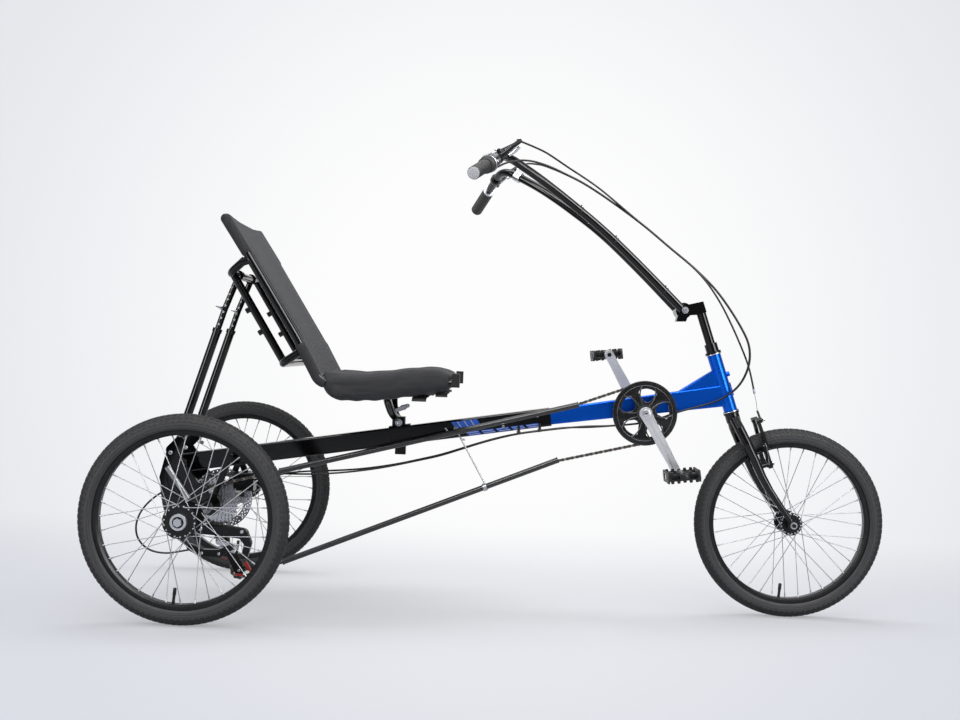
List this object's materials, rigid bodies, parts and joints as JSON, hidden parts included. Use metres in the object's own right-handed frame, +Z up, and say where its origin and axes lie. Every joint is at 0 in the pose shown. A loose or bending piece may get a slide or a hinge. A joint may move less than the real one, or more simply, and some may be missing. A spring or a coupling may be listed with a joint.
{
  "type": "recumbent delta tricycle",
  "caption": "Recumbent delta trike: low mesh seat on a sloping beam, long rear-swept bars, small steered front wheel, two rear wheels, cranks and chain line.",
  "frame": {"origin": "on the ground, midway between the front and rear axles, in the middle plane", "axes": "+X forward, +Y to the rider's left, +Z up"},
  "size_m": [2.0158, 0.82, 1.2112],
  "materials": {
    "frame_black": "gloss",
    "frame_blue": "metallic gloss",
    "steel": "satin",
    "silver_alloy": "satin",
    "chain_steel": "satin",
    "spoke_steel": "bright",
    "rim_black": "anodised",
    "tyre_rubber": "matte",
    "seat_mesh": "woven mesh",
    "black_plastic": "moulded",
    "grip_rubber": "ribbed",
    "cable_black": "smooth"
  },
  "bodies": {
    "frame": {"main_tube": "frame_black", "front_boom": "frame_blue", "head_tube": "frame_blue", "head_gusset": "frame_blue", "bottom_bracket_shell": "frame_blue", "headset_cups": "frame_black", "rear_side_frames": "frame_black", "axle_housings": "frame_black", "stub_axle": "steel", "brake_caliper": "frame_black", "seat_frame": "frame_black", "seat_back_pad": "seat_mesh", "seat_cushion": "seat_mesh", "seat_end_plugs": "black_plastic", "seat_brace": "frame_black", "strut_outer_tubes": "frame_black", "strut_inner_tubes": "frame_black", "seat_clamp": "frame_black", "seat_bracket": "frame_black", "chain": "chain_steel", "chain_tubes": "black_plastic", "cassette": "steel", "rear_derailleur": "frame_black", "chain_tube_hanger": "steel", "frame_cables": "cable_black"},
    "steering": {"fork": "frame_black", "steering_post": "frame_black", "handlebars": "frame_black", "grips": "grip_rubber", "bar_end_ring": "steel", "twist_shifter": "black_plastic", "brake_levers": "frame_black", "front_brake": "frame_black", "front_axle": "steel", "front_brake_cable": "cable_black", "steering_loop_cables": "cable_black"},
    "front_wheel": {"front_tyre": "tyre_rubber", "front_rim_and_hub": "rim_black", "front_spokes": "spoke_steel"},
    "rear_wheel_right": {"rear_right_tyre": "tyre_rubber", "rear_right_rim_and_hub": "rim_black", "rear_right_spokes": "spoke_steel"},
    "rear_wheel_left": {"rear_left_tyre": "tyre_rubber", "rear_left_rim_and_hub": "rim_black", "rear_left_spokes": "spoke_steel", "axle_shaft": "steel", "brake_rotor": "steel"},
    "crankset": {"chainring": "frame_black", "crank_arms": "silver_alloy"},
    "pedal_right": {"pedal_right": "black_plastic"},
    "pedal_left": {"pedal_left": "black_plastic"}
  },
  "joints": [
    {"name": "steering_turn", "type": "hinge", "parent": "frame", "child": "steering", "pos_m": [0.5947, 0, 0.5409], "axis": [-0.3256, 0, 0.9455], "range_deg": [-35, 35], "deforming": ["steering_loop_cables"]},
    {"name": "front_wheel_spin", "type": "hinge", "parent": "steering", "child": "front_wheel", "pos_m": [0.758, 0, 0.25], "axis": [0, 1, 0], "continuous": true},
    {"name": "rear_right_wheel_spin", "type": "hinge", "parent": "frame", "child": "rear_wheel_right", "pos_m": [-0.758, -0.35, 0.25], "axis": [0, 1, 0], "continuous": true},
    {"name": "rear_left_wheel_spin", "type": "hinge", "parent": "frame", "child": "rear_wheel_left", "pos_m": [-0.758, 0.35, 0.25], "axis": [0, 1, 0], "continuous": true},
    {"name": "crank_spin", "type": "hinge", "parent": "frame", "child": "crankset", "pos_m": [0.36, 0, 0.528], "axis": [0, 1, 0], "continuous": true},
    {"name": "pedal_right_spin", "type": "hinge", "parent": "crankset", "child": "pedal_right", "pos_m": [0.44625, -0.149, 0.37861], "axis": [0, 1, 0], "continuous": true},
    {"name": "pedal_left_spin", "type": "hinge", "parent": "crankset", "child": "pedal_left", "pos_m": [0.27375, 0.149, 0.67739], "axis": [0, 1, 0], "continuous": true}
  ]
}
